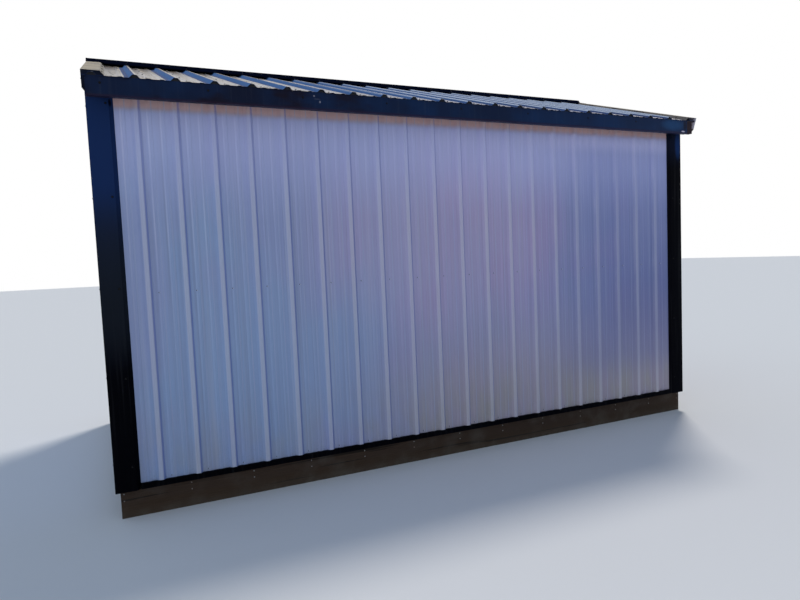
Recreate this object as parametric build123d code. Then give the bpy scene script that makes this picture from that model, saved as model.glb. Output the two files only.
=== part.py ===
"""A free-standing gable shed, clad in ribbed steel over a timber frame.

Millimetres, +Z up. The origin is on the ground under the middle of the building, and +X runs
along the long walls. The blank long wall faces -Y and the door is in the one that faces +Y.
Every sheet of metal is one thickness, and lies on the framing, the deck or the ribs under it.
"""
from build123d import *
from math import atan, cos, hypot, sin, tan
import os

# The floor: runners on the ground, a band and joists on them, and a deck.
frame_length = 4877.0          # 16 ft over the framing, along X
frame_width = 2743.0           # 9 ft over the framing, along Y
runner_side = 89.0             # a 4x4
runner_count = 3
board_thickness = 38.0         # 2x lumber
board_depth = 89.0             # of a 2x4
frame_spacing = 406.4          # 16 in, for joists, studs and rafters
deck_thickness = 18.0

# The walls.
stud_length = 2353.0
blocking_height = 1216.0       # the middle of the blocking, above the deck

# The roof.
roof_rise_in_12 = 4.0
rafter_seat = 64.0             # how far each rafter bears on the top plate
eave_reach = 140.0             # from the framing to the rafters' ends
ridge_board_depth = 140.0
roof_deck_thickness = 11.0
roof_deck_gap = 10.0           # between the two slopes' decks, at the ridge
roof_overhang = 9.0            # of the roofing past the fascias
ridge_lap = 60.0               # what is sawn off each sloping piece at the ridge
rake_joint = 1.0               # between the two slopes' pieces, at the ridge
rake_board_set_back = 40.0     # from the end of the rake trim

# The ribbed steel, on walls and roof.
metal_thickness = 1.0
rib_pitch = 228.6              # 9 in
rib_height = 19.0
rib_base = 60.0
rib_top = 22.0
low_rib_height = 3.5
low_rib_base = 34.0
first_wall_rib = 17.0          # from the left edge of the framing to the first high rib
closure_length = 25.0

# The folded trims.
trim_stand_height = 26.0              # the inside of a trim above the flats of the ribbed steel
trim_clearance = 2.0           # beside a trim's edge, where it lands on a flat
corner_trim_width = 150.0
corner_trim_lip = 25.0
base_trim_height = 37.0
base_trim_lap = 3.0            # over the band
base_trim_reach = 21.0
fascia_height = 115.0
fascia_short = 62.0            # what the blank wall's fascia lacks at the right, from the framing's end
rake_board_thickness = 16.0
rake_trim_leg = 100.0          # each flat of the rake trim, from its corner
rake_trim_lip = 22.0
ridge_cap_half = 150.0
ridge_cap_overhang = 6.0       # past the rake trims
ridge_hump_half = 42.0
ridge_hump_height = 28.0

# The door.
door_width = 914.0
door_height = 2007.0
door_gap = 3.0
door_core_thickness = 37.0
jamb_thickness = 19.0
casing_width = 89.0
casing_thickness = 27.0
door_border_width = 110.0
threshold_height = 25.0
threshold_nose = 14.0
threshold_fall = 4.0
hinge_count = 3
hinge_plate = 4.0
hinge_strap_length = 300.0
hinge_strap_width = 38.0
hinge_leaf_width = 60.0
hinge_leaf_height = 130.0
hinge_knuckle = 14.0
hinge_end_distance = 260.0
handle_height = 1000.0
handle_plate = 70.0
handle_shaft = 16.0
handle_bar = 120.0

# Levels and faces that follow.
slope = atan(roof_rise_in_12 / 12)
half_length = frame_length / 2
half_width = frame_width / 2
band_top = runner_side + board_depth
floor_level = band_top + deck_thickness
plate_underside = floor_level + board_thickness + stud_length
plate_top = plate_underside + 2 * board_thickness
trim_bottom = band_top - base_trim_lap
siding_bottom = trim_bottom + base_trim_height
rafter_apex = plate_top - rafter_seat * tan(slope) + (board_depth + half_width * sin(slope)) / cos(slope)
eave_face = half_width + eave_reach + board_thickness
rib_face = metal_thickness + rib_height
trim_face = metal_thickness + trim_stand_height + metal_thickness
rake_inner = half_length + rib_face
rake_outer = rake_inner + rake_board_thickness
roof_flat = roof_deck_thickness + metal_thickness
rake_top = roof_flat + trim_stand_height
rake_board_depth = rake_trim_leg - rake_top - 2 * metal_thickness
soffit_under = -board_depth - metal_thickness
door_opening = door_width + 2 * (door_gap + jamb_thickness)
door_head = floor_level + threshold_height + door_gap + door_height + door_gap
rough_head = door_head + jamb_thickness
clear_half = door_width / 2 + door_gap
casing_outer = clear_half + casing_width
casing_top = door_head + casing_width


def height_at(y, lift=0.0):
    """height of the roof's slope at y, for the plane lift above the rafters"""
    return rafter_apex + lift / cos(slope) - abs(y) * tan(slope)


fascia_top = height_at(eave_face + metal_thickness, roof_deck_thickness)
fascia_bottom = fascia_top - fascia_height


def board(x, y, z):
    """a square-edged board between two coordinates on each axis"""
    size = [abs(b - a) for a, b in (x, y, z)]
    middle = [(a + b) / 2 for a, b in (x, y, z)]
    return Pos(*middle) * Box(*size)


def prism(outline, plane, length):
    """a straight solid that starts as outline on plane and runs along its normal"""
    corners = [plane.from_local_coords((u, v, 0)) for u, v in outline]
    return extrude(Face(Wire.make_polygon(corners)), amount=length, dir=plane.z_dir)


def members(length):
    """both faces of each stud, joist or rafter along a length about the middle, with one at each end"""
    half = board_thickness / 2
    count = int((length - 2 * board_thickness) // frame_spacing)
    centres = [half] + [k * frame_spacing for k in range(1, count + 1)] + [length - half]
    return [(x - length / 2 - half, x - length / 2 + half) for x in centres]


def folded(path, thickness=metal_thickness):
    """outline of sheet metal bent along path, with its thickness to the left of the path"""
    sides = []
    for (u0, v0), (u1, v1) in zip(path, path[1:]):
        run = hypot(u1 - u0, v1 - v0)
        sides.append(((v0 - v1) / run, (u1 - u0) / run))
    offset = []
    for index, (u, v) in enumerate(path):
        before = sides[max(index - 1, 0)]
        after = sides[min(index, len(sides) - 1)]
        scale = thickness / (1 + before[0] * after[0] + before[1] * after[1])
        offset.append((u + (before[0] + after[0]) * scale, v + (before[1] + after[1]) * scale))
    return path + offset[::-1]


def under_roof(lift):
    """everything below the two slopes of the plane that lies lift above the rafters"""
    reach = 2 * half_width
    side = Plane(origin=(-2 * half_length, 0, 0), x_dir=(0, 1, 0), z_dir=(1, 0, 0))
    gable = [(-reach, 0), (reach, 0), (reach, height_at(reach, lift)), (0, height_at(0, lift)),
             (-reach, height_at(reach, lift))]
    return prism(gable, side, 4 * half_length)


def in_landing(centre, half, landings):
    """whether what reaches half each way from centre comes into one of the landings"""
    return any(centre + half > low and centre - half < high for low, high in landings)


def ribbed(start, end, first_rib, landings=()):
    """section of the ribbed steel from start to end: high ribs on a pitch, two low ones between

    A rib that would lie under the edge of a trim, in one of the landings, is left out.
    """
    low_top = low_rib_base / 2
    points = [(start, 0.0)]
    count = int((end - start) // rib_pitch) + 3
    origin = first_rib + rib_pitch * ((start - first_rib) // rib_pitch)
    for third in range(3 * count):
        centre = origin + third * rib_pitch / 3
        high = third % 3 == 0
        foot, top, lift = (rib_base, rib_top, rib_height) if high else (low_rib_base, low_top, low_rib_height)
        if in_landing(centre, foot / 2, landings):
            continue
        if centre - foot / 2 < start or centre + foot / 2 > end:
            continue
        points += [(centre - foot / 2, 0.0), (centre - top / 2, lift),
                   (centre + top / 2, lift), (centre + foot / 2, 0.0)]
    points.append((end, 0.0))
    return points + [(u, v + metal_thickness) for u, v in points[::-1]]


def both_ends(piece):
    """a piece at the left end and its mirror image at the right end"""
    return [piece, mirror(piece, about=Plane.YZ)]


def both_sides(piece):
    """a piece on the blank wall's side and its mirror image on the door's side"""
    return [piece, mirror(piece, about=Plane.XZ)]


def eave_end(lift):
    """distance down the slope to the square ends at the eave, on the plane lift above the rafters"""
    roofing = (eave_face + metal_thickness + roof_overhang) / cos(slope)
    return roofing + (lift - roof_deck_thickness) * tan(slope)


def sloping(outline, lift, x, end, gap=0.0, start=None):
    """a piece down the slope that faces -Y, cut plumb at the ridge unless it starts lower

    The outline has x along the building and y square to the roof, from the plane lift above the rafters.
    """
    down = Vector(0, -cos(slope), -sin(slope))
    first = -ridge_lap if start is None else start
    origin = Vector(x, 0, rafter_apex + lift / cos(slope)) + down * first
    piece = prism(outline, Plane(origin=origin, x_dir=(1, 0, 0), z_dir=down), end - first)
    far = 4 * half_length
    return piece & board((-far, far), (-far, -gap / 2), (0, far))


def lengthways(outline, half):
    """a piece along X, the same both ways from the middle, its outline in Y and Z"""
    start = Plane(origin=(-half, 0, 0), x_dir=(0, 1, 0), z_dir=(1, 0, 0))
    return prism(outline, start, 2 * half)


wall_ribs = [first_wall_rib - half_length + k * rib_pitch
             for k in range(int((frame_length - first_wall_rib) // rib_pitch) + 1)]
door_centre = min(wall_ribs, key=abs)
door_left = door_centre - door_opening / 2
door_right = door_centre + door_opening / 2


# Floor

def runners():
    step = (frame_width - runner_side) / (runner_count - 1)
    middles = [runner_side / 2 - half_width + k * step for k in range(runner_count)]
    return [board((-half_length, half_length), (y - runner_side / 2, y + runner_side / 2), (0, runner_side))
            for y in middles]


def floor_band():
    inner = half_width - board_thickness
    return both_sides(board((-half_length, half_length), (-half_width, -inner), (runner_side, band_top)))


def floor_joists():
    inner = half_width - board_thickness
    return [board(width, (-inner, inner), (runner_side, band_top)) for width in members(frame_length)]


def floor_deck():
    return board((-half_length, half_length), (-half_width, half_width), (band_top, floor_level))


# Walls

sole = (floor_level, floor_level + board_thickness)
top_plates = (plate_underside, plate_top)
stud_height = (floor_level + board_thickness, plate_underside)
front_depth = (-half_width, board_depth - half_width)
back_depth = (half_width - board_depth, half_width)
end_depth = (-half_length, board_depth - half_length)
end_inner = half_width - board_depth


def front_plates():
    length = (-half_length, half_length)
    return [board(length, front_depth, sole), board(length, front_depth, top_plates)]


def back_plates():
    return [board((-half_length, door_left), back_depth, sole),
            board((door_right, half_length), back_depth, sole),
            board((-half_length, half_length), back_depth, top_plates)]


def end_plates():
    width = (-end_inner, end_inner)
    return both_ends(board(end_depth, width, sole)) + both_ends(board(end_depth, width, top_plates))


def front_studs():
    return [board(width, front_depth, stud_height) for width in members(frame_length)]


def door_wall_members():
    """the studs of the door's wall, those beside the doorway double"""
    post = 2 * board_thickness
    whole = [(a, b) for a, b in members(frame_length) if b < door_left - post or a > door_right + post]
    return sorted(whole + [(door_left - post, door_left), (door_right, door_right + post)])


def back_studs():
    """the studs of the door's wall, with short ones over the header"""
    over_header = (rough_head + board_depth, plate_underside)
    short = [board((a, b), back_depth, over_header) for a, b in members(frame_length)
             if a > door_left and b < door_right]
    return [board(width, back_depth, stud_height) for width in door_wall_members()] + short


def door_header():
    return board((door_left, door_right), back_depth, (rough_head, rough_head + board_depth))


def end_studs():
    return [solid for width in members(2 * end_inner)
            for solid in both_ends(board(end_depth, width, stud_height))]


def gable_studs():
    """short studs on the end plates, cut to the end rafters"""
    depth = (-half_length, board_thickness - half_length)
    room = under_roof(-board_depth) - ridge_board()
    return [solid for width in members(2 * end_inner)[1:-1]
            for solid in both_ends(board(depth, width, (plate_top, rafter_apex)) & room)]


def wall_blocking():
    """2x4s laid flat between the studs at mid height, to take the middle row of screws"""
    middle = floor_level + blocking_height
    height = (middle - board_depth / 2, middle + board_depth / 2)
    front = members(frame_length)
    back = door_wall_members()
    ends = members(2 * end_inner)
    blocks = [board((a[1], b[0]), (-half_width, board_thickness - half_width), height)
              for a, b in zip(front, front[1:])]
    blocks += [board((a[1], b[0]), (half_width - board_thickness, half_width), height)
               for a, b in zip(back, back[1:]) if a[1] != door_left]
    for a, b in zip(ends, ends[1:]):
        blocks += both_ends(board((-half_length, board_thickness - half_length), (a[1], b[0]), height))
    return blocks


# Roof

def ridge_board():
    top = height_at(board_thickness / 2)
    return board((-half_length, half_length), (-board_thickness / 2, board_thickness / 2),
                 (top - ridge_board_depth, top))


def rafters():
    """2x4 rafters with a seat cut over the top plate, plumb cuts at the ridge and at the eave"""
    tail = half_width + eave_reach
    near = board_thickness / 2
    inner = half_width - rafter_seat
    outline = [(-near, height_at(near)), (-near, height_at(near, -board_depth)),
               (-inner, height_at(inner, -board_depth)), (-half_width, plate_top),
               (-half_width, height_at(half_width, -board_depth)), (-tail, height_at(tail, -board_depth)),
               (-tail, height_at(tail))]
    pieces = []
    for left, right in members(frame_length):
        start = Plane(origin=(left, 0, 0), x_dir=(0, 1, 0), z_dir=(1, 0, 0))
        pieces += both_sides(prism(outline, start, right - left))
    return pieces


def eave_boards():
    """a board across the rafters' ends, its top bevelled to the slope"""
    outer = eave_face
    inner = outer - board_thickness
    bottom = fascia_bottom + metal_thickness
    return both_sides(lengthways([(-outer, bottom), (-inner, bottom), (-inner, height_at(inner)),
                                  (-outer, height_at(outer))], half_length))


def roof_deck():
    """sheathing on both slopes, cut plumb at the eaves and short of the ridge"""
    near = roof_deck_gap / 2
    return both_sides(lengthways([(-near, height_at(near)), (-eave_face, height_at(eave_face)),
                                  (-eave_face, height_at(eave_face, roof_deck_thickness)),
                                  (-near, height_at(near, roof_deck_thickness))], rake_outer))


def rake_boards():
    """a board down each rake, over the ribs of the gable's siding and under the roof deck"""
    outline = [(0, 0), (rake_board_thickness, 0), (rake_board_thickness, rake_board_depth),
               (0, rake_board_depth)]
    end = eave_end(-rake_board_depth) - rake_board_set_back
    piece = sloping(outline, -rake_board_depth, -rake_outer, end, rake_joint)
    return [solid for side in both_ends(piece) for solid in both_sides(side)]


# Roofing

rake_landing = rake_outer + metal_thickness - rake_trim_leg - rake_trim_lip
roof_landings = [(-rake_landing - metal_thickness - trim_clearance, -rake_landing + trim_clearance),
                 (rake_landing - trim_clearance, rake_landing + metal_thickness + trim_clearance)]


def roof_sheet(start=None):
    """the roofing on the slope that faces -Y, whole or from a distance down the slope"""
    section = ribbed(-rake_outer, rake_outer, wall_ribs[0], roof_landings)
    return sloping(section, roof_deck_thickness, 0, eave_end(roof_deck_thickness), rake_joint, start)


def eave_closures():
    """foam plugs in the ends of the high ribs, along both eaves"""
    foot = rib_base / 2
    top = rib_top / 2
    outline = [(-foot, 0), (foot, 0), (top, rib_height), (-top, rib_height)]
    end = eave_face / cos(slope)
    places = [x for x in wall_ribs if not in_landing(x, foot, roof_landings)]
    return [solid for x in places
            for solid in both_sides(sloping(outline, roof_deck_thickness, x, end, start=end - closure_length))]


def rake_trims(end_of_sheet, capped_front):
    """on the left gable: an angle over the edge, with lips down to the roofing and in to the gable's ribs

    Its ends at the eaves are closed by caps cut over the roofing's ribs, the front one only where capped.
    """
    edge = rake_trim_leg + rake_trim_lip
    path = [(edge, -trim_stand_height), (rake_trim_leg, 0), (0, 0), (0, -rake_trim_leg),
            (rake_board_thickness, -edge)]
    lift = rake_top + metal_thickness
    corner = -rake_outer - metal_thickness
    end = eave_end(lift)
    trim = sloping(folded(path), lift, corner, end, rake_joint)
    inside = rake_board_thickness + metal_thickness
    under_sheet = -trim_stand_height - 2 * metal_thickness
    hollow = path + [(inside, -edge), (inside, under_sheet), (edge, under_sheet)]
    cap = sloping(hollow, lift, corner, end, start=end - metal_thickness) - end_of_sheet
    capped = max((trim + cap).solids(), key=lambda solid: solid.volume)
    return [capped if capped_front else trim, mirror(capped, about=Plane.XZ)]


def ridge_cap():
    """flanges over the rake trims and the ribs, a hump over the ridge, and lips down to the ribs"""
    under = rake_top + metal_thickness
    edge = ridge_cap_half * cos(slope)
    hump = height_at(ridge_hump_half, under) + ridge_hump_height
    half_path = [(-edge, height_at(edge, under)), (-ridge_hump_half, height_at(ridge_hump_half, under)),
                 (-ridge_hump_half / 2, hump)]
    path = half_path + [(-y, z) for y, z in half_path[::-1]]
    cap = lengthways(folded(path), rake_outer + metal_thickness + ridge_cap_overhang)
    rib_line = roof_deck_thickness + rib_face
    lip_top = height_at(edge, under) + metal_thickness
    lip_path = [(-edge, lip_top), (-edge, height_at(edge - metal_thickness, rib_line))]
    for lip in both_sides(lengthways(folded(lip_path), rake_landing - trim_clearance)):
        cap = cap + lip
    return cap


def fascias():
    """over the eave board, from under the roofing, with a return beneath"""
    face = -eave_face - metal_thickness
    path = [(face, fascia_top), (face, fascia_bottom), (board_thickness - eave_face, fascia_bottom)]
    blank_side, door_side = both_sides(lengthways(folded(path), rake_inner))
    end = half_length - fascia_short
    kept = board((-2 * half_length, end), (2 * face, 0), (0, fascia_top))
    return [blank_side & kept, door_side]


def soffits():
    """a sheet under the rafters' ends, from the wall's framing to the eave board"""
    near = half_width
    far = half_width + eave_reach
    outline = [(-near, height_at(near, -board_depth)), (-far, height_at(far, -board_depth)),
               (-far, height_at(far, soffit_under)), (-near, height_at(near, soffit_under))]
    return both_sides(lengthways(outline, rake_inner))


# Siding

def wall_sheet(section, plane, top_lift):
    """ribbed steel standing on the base trim and cut to a plane of the roof"""
    return prism(section, plane, rafter_apex) & under_roof(top_lift)


def long_wall_landings():
    edge = half_length + trim_face
    near = edge - corner_trim_width - trim_clearance
    far = edge - corner_trim_width + corner_trim_lip + trim_clearance
    return [(-far, -near), (near, far)]


def end_wall_landings():
    edge = half_width + trim_face
    near = edge - corner_trim_width - trim_clearance
    far = edge - corner_trim_width + corner_trim_lip + trim_clearance
    return [(-far, -near), (near, far)]


def front_siding():
    section = ribbed(-half_length, half_length, wall_ribs[0], long_wall_landings())
    section = [(u, -v) for u, v in section]
    return wall_sheet(section, Plane(origin=(0, -half_width, siding_bottom)), soffit_under)


def back_siding(left, right, bottom):
    """siding of the door's wall between two places along it, from a level up"""
    section = ribbed(left, right, wall_ribs[0], long_wall_landings())
    return wall_sheet(section, Plane(origin=(0, half_width, bottom)), soffit_under)


def end_siding():
    """the left gable's siding, from corner to corner and up to the roof deck"""
    section = [(-v, u) for u, v in ribbed(-half_width, half_width, -half_width, end_wall_landings())]
    return wall_sheet(section, Plane(origin=(-half_length, 0, siding_bottom)), 0)


def corner_trims():
    """angles over the corners, with lips down to the flats of the siding"""
    run = corner_trim_width - corner_trim_lip
    path = [(trim_stand_height, corner_trim_width), (0, run), (0, 0), (run, 0),
            (corner_trim_width, trim_stand_height)]
    corner = Plane(origin=(-half_length - trim_face, -half_width - trim_face, trim_bottom))
    piece = prism(folded(path), corner, rafter_apex) & under_roof(soffit_under)
    return [solid for end in both_ends(piece) for solid in both_sides(end)]


def base_strip(start, end, along_x=True):
    """folded angle under the siding on the -Y or the -X wall: a shelf and a face"""
    wall = half_width if along_x else half_length
    face = -wall - base_trim_reach
    outline = folded([(-wall, siding_bottom), (face, siding_bottom), (face, trim_bottom)])
    if along_x:
        plane = Plane(origin=(start, 0, 0), x_dir=(0, 1, 0), z_dir=(1, 0, 0))
    else:
        plane = Plane(origin=(0, end, 0), x_dir=(1, 0, 0), z_dir=(0, -1, 0))
    return prism(outline, plane, end - start)


def base_trims():
    """under the siding between the corner trims, and short of the door's casing"""
    corner = half_length + trim_face - corner_trim_width
    end_corner = half_width + trim_face - corner_trim_width
    pieces = [base_strip(-corner, corner)]
    pieces += [mirror(base_strip(*span), about=Plane.XZ)
               for span in ((-corner, door_centre - casing_outer), (door_centre + casing_outer, corner))]
    return pieces + both_ends(base_strip(-end_corner, end_corner, along_x=False))


# Door

leaf_bottom = floor_level + threshold_height + door_gap
leaf_top = leaf_bottom + door_height
door_face = half_width + casing_thickness


def door_span(half):
    return door_centre - half, door_centre + half


def beside_door(inner, outer, y, z):
    """a pair of boards, one each side of the doorway"""
    return [board((door_centre - outer, door_centre - inner), y, z),
            board((door_centre + inner, door_centre + outer), y, z)]


def door_jambs():
    return beside_door(clear_half, door_opening / 2, back_depth, (floor_level, door_head))


def door_head_jamb():
    return board(door_span(door_opening / 2), back_depth, (door_head, rough_head))


def door_casing_sides():
    return beside_door(clear_half, casing_outer, (half_width, door_face), (trim_bottom, door_head))


def door_casing_head():
    return board(door_span(casing_outer), (half_width, door_face), (door_head, casing_top))


def threshold():
    """a sill on the deck with an apron over the band"""
    inside = half_width - board_depth
    top = floor_level + threshold_height
    nose = door_face + threshold_nose
    outline = [(inside, floor_level), (inside, top), (door_face, top), (nose, top - threshold_fall),
               (nose, floor_level), (door_face, floor_level), (door_face, trim_bottom),
               (half_width, trim_bottom), (half_width, floor_level)]
    left, right = door_span(clear_half)
    start = Plane(origin=(left, 0, 0), x_dir=(0, 1, 0), z_dir=(1, 0, 0))
    return prism(outline, start, right - left)


def door_core():
    return board(door_span(door_width / 2), (half_width - door_core_thickness, half_width),
                 (leaf_bottom, leaf_top))


def door_stiles():
    return beside_door(door_width / 2 - door_border_width, door_width / 2, (half_width, door_face),
                       (leaf_bottom, leaf_top))


rail_middles = [leaf_bottom + door_border_width / 2, (leaf_bottom + leaf_top) / 2,
                leaf_top - door_border_width / 2]


def door_rails():
    half = door_border_width / 2
    length = door_span(door_width / 2 - door_border_width)
    return [board(length, (half_width, door_face), (z - half, z + half)) for z in rail_middles]


def door_panels():
    """ribbed steel between the rails, one rib on the door's middle"""
    left, right = door_span(door_width / 2 - door_border_width)
    section = ribbed(left, right, door_centre)
    half = door_border_width / 2
    return [prism(section, Plane(origin=(0, half_width, low + half)), high - low - door_border_width)
            for low, high in zip(rail_middles, rail_middles[1:])]


def hinge(z):
    """a strap on the door, a leaf on the casing and the knuckle between them"""
    pin = door_centre - door_width / 2 - door_gap / 2
    leaf = board((pin - hinge_leaf_width, pin), (door_face, door_face + hinge_plate),
                 (z - hinge_leaf_height / 2, z + hinge_leaf_height / 2))
    end = pin + hinge_strap_length
    root = hinge_strap_width / 2
    tip = root / 2
    outline = [(pin, z - root), (end, z - tip), (end, z + tip), (pin, z + root)]
    strap = prism(outline, Plane(origin=(0, door_face, 0), x_dir=(1, 0, 0), z_dir=(0, -1, 0)), -hinge_plate)
    height = hinge_leaf_height
    knuckle = Pos(pin, door_face + hinge_knuckle / 2, z) * Cylinder(hinge_knuckle / 2, height)
    return leaf + strap + knuckle


def hinges():
    low = leaf_bottom + hinge_end_distance
    step = (leaf_top - leaf_bottom - 2 * hinge_end_distance) / (hinge_count - 1)
    return [hinge(low + k * step) for k in range(hinge_count)]


def handle():
    """a T handle on its plate"""
    x = door_centre + door_width / 2 - door_border_width / 2
    z = floor_level + handle_height
    plate = Pos(x, door_face + hinge_plate / 2, z) * Box(handle_plate, hinge_plate, handle_plate)
    reach = 2 * handle_shaft
    shaft = Pos(x, door_face + reach / 2, z) * Box(handle_shaft, reach, handle_shaft)
    bar = Pos(x, door_face + reach, z) * Rot(0, 90, 0) * Cylinder(handle_shaft / 2, handle_bar)
    return plate + shaft + bar


def as_list(shape):
    return shape if isinstance(shape, list) else [shape]


sheet_end = roof_sheet(eave_end(0) - closure_length)
nodes = {
    "runners": runners(),
    "floor_band": floor_band(),
    "floor_joists": floor_joists(),
    "floor_deck": floor_deck(),
    "front_plates": front_plates(),
    "back_plates": back_plates(),
    "end_plates": end_plates(),
    "front_studs": front_studs(),
    "back_studs": back_studs(),
    "end_studs": end_studs(),
    "gable_studs": gable_studs(),
    "wall_blocking": wall_blocking(),
    "door_header": door_header(),
    "ridge_board": ridge_board(),
    "rafters": rafters(),
    "eave_boards": eave_boards(),
    "roof_deck": roof_deck(),
    "rake_boards": rake_boards(),
    "soffits": soffits(),
    "front_roofing": roof_sheet(),
    "back_roofing": mirror(roof_sheet(), about=Plane.XZ),
    "eave_closures": eave_closures(),
    "left_rake_trims": rake_trims(sheet_end, capped_front=True),
    "right_rake_trims": [mirror(piece, about=Plane.YZ)
                         for piece in rake_trims(mirror(sheet_end, about=Plane.YZ), capped_front=False)],
    "ridge_cap": ridge_cap(),
    "fascias": fascias(),
    "front_siding": front_siding(),
    "back_siding_left": back_siding(-half_length, door_centre - casing_outer, siding_bottom),
    "back_siding_right": back_siding(door_centre + casing_outer, half_length, siding_bottom),
    "back_siding_over_door": back_siding(*door_span(casing_outer), casing_top),
    "left_siding": end_siding(),
    "right_siding": mirror(end_siding(), about=Plane.YZ),
    "corner_trims": corner_trims(),
    "base_trims": base_trims(),
    "door_jambs": door_jambs(),
    "door_head_jamb": door_head_jamb(),
    "door_casing_sides": door_casing_sides(),
    "door_casing_head": door_casing_head(),
    "threshold": threshold(),
    "door_core": door_core(),
    "door_stiles": door_stiles(),
    "door_rails": door_rails(),
    "door_panels": door_panels(),
    "hinges": hinges(),
    "door_handle": handle(),
}

os.makedirs("parts", exist_ok=True)
for name, shape in nodes.items():
    solids = [solid for piece in as_list(shape) for solid in piece.solids()]
    export_step(solids[0] if len(solids) == 1 else Compound(solids), f"parts/{name}.step")
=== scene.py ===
"""The looks of a free-standing gable shed: white ribbed steel, near-black trims and roof, treated timber."""
from math import atan, cos, radians, sin
import random

import bmesh
import bpy
from mathutils import Matrix, Vector


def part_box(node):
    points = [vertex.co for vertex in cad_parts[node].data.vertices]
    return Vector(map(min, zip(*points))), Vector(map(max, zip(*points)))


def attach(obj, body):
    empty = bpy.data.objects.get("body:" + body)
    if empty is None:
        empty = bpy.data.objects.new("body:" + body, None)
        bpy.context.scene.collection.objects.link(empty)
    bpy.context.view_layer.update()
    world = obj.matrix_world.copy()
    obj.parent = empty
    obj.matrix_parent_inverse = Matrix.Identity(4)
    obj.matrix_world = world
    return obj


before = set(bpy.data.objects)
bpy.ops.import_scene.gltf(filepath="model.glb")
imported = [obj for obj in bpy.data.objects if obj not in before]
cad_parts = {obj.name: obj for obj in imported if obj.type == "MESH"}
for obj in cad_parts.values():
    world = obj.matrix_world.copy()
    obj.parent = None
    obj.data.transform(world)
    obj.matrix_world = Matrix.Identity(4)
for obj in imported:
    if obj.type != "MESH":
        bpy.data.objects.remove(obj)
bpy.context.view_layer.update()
view = bpy.context.scene.view_settings
view.view_transform = "Standard"


# The place that the shed is looked at from: a hand-held camera at eye height, off the left end of the
# blank wall and turned to the right, with a lens as short as 26 mm on a full frame.
eye = Vector((-2.3429, -5.5065, 1.570))
turned_right = radians(-24.54)
tilted_down = radians(-4.02)
rolled = radians(2.43)


def put(name, data):
    """a new object in the scene"""
    made = bpy.data.objects.new(name, data)
    bpy.context.scene.collection.objects.link(made)
    return made


camera_data = bpy.data.cameras.new("eye_height_camera")
camera_data.sensor_width = 36.0
camera_data.lens = 27.32
camera = put("eye_height_camera", camera_data)
camera.matrix_world = (Matrix.Translation(eye) @ Matrix.Rotation(turned_right, 4, "Z")
                       @ Matrix.Rotation(tilted_down, 4, "X") @ Matrix.Rotation(rolled, 4, "Y")
                       @ Matrix.Rotation(radians(90), 4, "X"))
bpy.context.scene.camera = camera


# The studio: a pale floor with no edge in sight, a white backdrop, and a bluish light from the sky that
# is stronger on the left. One soft lamp stands high behind the right end, so the blank wall is in open
# shade, and a weaker one is off its left.

def to_linear(code):
    """an sRGB colour written as hex, as linear red, green, blue and alpha"""
    parts = [int(code[place:place + 2], 16) / 255 for place in (0, 2, 4)]
    return tuple(c / 12.92 if c <= 0.04045 else ((c + 0.055) / 1.055) ** 2.4 for c in parts) + (1.0,)


def add_node(tree, kind, links=None, **settings):
    """a node with its settings; each socket in links takes a value, an output, or a node's first output"""
    made = tree.nodes.new(kind if "Node" in kind else "ShaderNode" + kind)
    for name, value in settings.items():
        setattr(made, name, value)
    for socket, value in (links or {}).items():
        if isinstance(value, bpy.types.Node):
            value = next(output for output in value.outputs if output.enabled)
        if isinstance(value, bpy.types.NodeSocket):
            tree.links.new(value, made.inputs[socket])
        else:
            made.inputs[socket].default_value = value
    return made


floor_tone = to_linear("E6E4E2")
floor_finish = bpy.data.materials.new("matt_studio_floor")
floor_finish.use_nodes = True
tree = floor_finish.node_tree
tree.nodes.clear()
matt = add_node(tree, "BsdfDiffuse", {"Color": floor_tone})
add_node(tree, "OutputMaterial", {"Surface": matt})
floor_half = 60.0
floor_mesh = bpy.data.meshes.new("studio_floor")
corners = [(x * floor_half, y * floor_half, 0) for x, y in ((-1, -1), (1, -1), (1, 1), (-1, 1))]
floor_mesh.from_pydata(corners, [], [(0, 1, 2, 3)])
floor_mesh.materials.append(floor_finish)
floor = put("studio_floor", floor_mesh)

world = bpy.data.worlds.new("pale_studio_sky")
bpy.context.scene.world = world
world.use_nodes = True
tree = world.node_tree
tree.nodes.clear()
ray = add_node(tree, "LightPath")
seen = add_node(tree, "Math", {0: ray.outputs["Is Camera Ray"], 1: ray.outputs["Is Glossy Ray"]},
                operation="MAXIMUM")
seen = add_node(tree, "Math", {0: seen, 1: ray.outputs["Is Transmission Ray"]}, operation="MAXIMUM")
around = add_node(tree, "TexCoord").outputs["Generated"]
heading = add_node(tree, "SeparateXYZ", {0: around}).outputs["X"]
from_left = add_node(tree, "MapRange", {0: heading, 1: -0.2, 2: 0.9, 3: 0.64, 4: 0.12})
lighting = add_node(tree, "Background", {"Color": (0.60, 0.76, 1.0, 1.0), "Strength": from_left})
backdrop = add_node(tree, "Background", {"Color": (1.0, 1.0, 1.0, 1.0), "Strength": 1.0})
sky = add_node(tree, "MixShader", {0: seen, 1: lighting, 2: backdrop})
add_node(tree, "OutputWorld", {"Surface": sky})

for name, strength, spread, colour, direction in (
        ("high_back_lamp", 1.6, 12, (1.0, 0.97, 0.92), (-0.42, -0.40, -1.0)),
        ("low_left_lamp", 0.30, 10, (1.0, 0.92, 0.84), (0.62, 0.70, -0.10))):
    lamp_data = bpy.data.lights.new(name, "SUN")
    lamp_data.energy = strength
    lamp_data.angle = radians(spread)
    lamp_data.color = colour
    put(name, lamp_data).rotation_euler = Vector(direction).to_track_quat("-Z", "Y").to_euler()


# Ground timbers: three 4x4 runners on the gravel and the 2x4 band and joists on them, pressure-treated
# pine gone brown and dull. The treatment's slits run along the grain, the ends show the growth rings,
# and long drying checks open along the faces.
frame_low, frame_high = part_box("runners")
incision_spacing = 0.019
incision_length = 0.012
ring_spacing = 0.0045


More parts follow.
